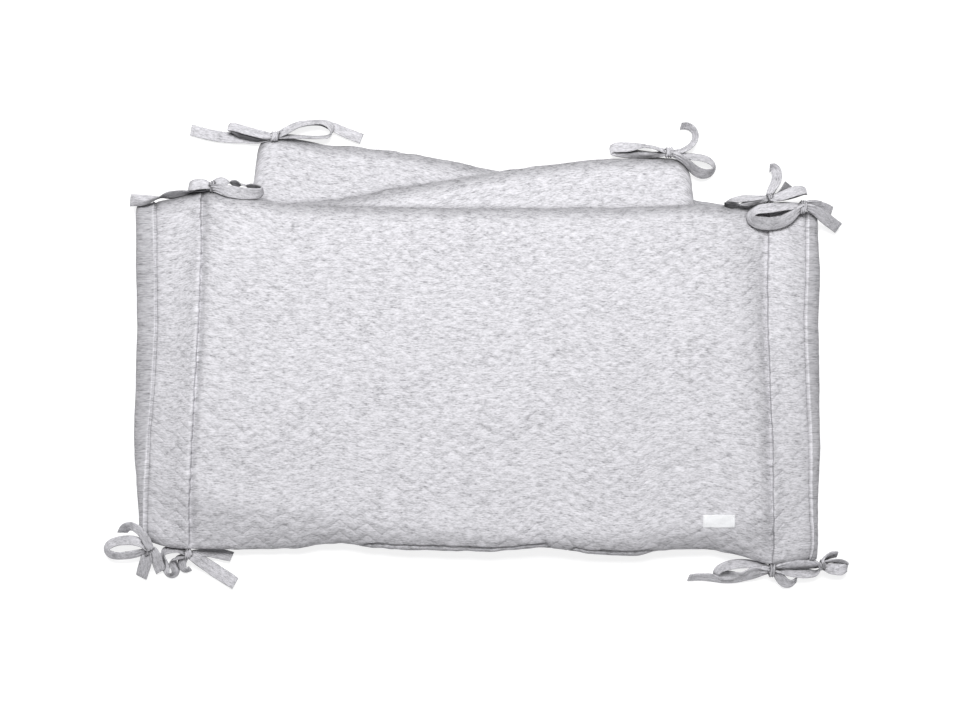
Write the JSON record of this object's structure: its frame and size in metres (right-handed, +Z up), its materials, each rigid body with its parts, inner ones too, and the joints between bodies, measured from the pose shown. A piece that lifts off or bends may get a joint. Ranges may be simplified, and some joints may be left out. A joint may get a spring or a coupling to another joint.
{
  "type": "crib bumper",
  "caption": "Padded, quilted fabric bumper for a crib or cot, folded flat in layers, with flat fabric ties knotted in bows at its channels and ends and a small bare sewn label.",
  "frame": {"origin": "on the surface the bumper lies on, under the middle of its front panel, at the underside mount", "axes": "+X to the right along the front panel's length, +Y along its height towards the strip's two free ends, +Z up through the folded layers"},
  "size_m": [0.7512, 0.4774, 0.0517],
  "materials": {
    "pad_jersey": "fine heather grey cotton jersey, chevron quilted",
    "tie_jersey": "the same heather grey jersey, folded and stitched to a flat tape",
    "label_tape": "white woven tape, bare"
  },
  "bodies": {
    "root": {"bumper_pad": "pad_jersey", "tie_end_left": "tie_jersey", "tie_end_right": "tie_jersey", "tie_top_left": "tie_jersey", "tie_top_right_inner": "tie_jersey", "tie_top_right_outer": "tie_jersey", "tie_bottom_left_outer": "tie_jersey", "tie_bottom_left_inner": "tie_jersey", "tie_bottom_right_inner": "tie_jersey", "tie_bottom_right_outer": "tie_jersey", "label": "label_tape"}
  },
  "joints": []
}
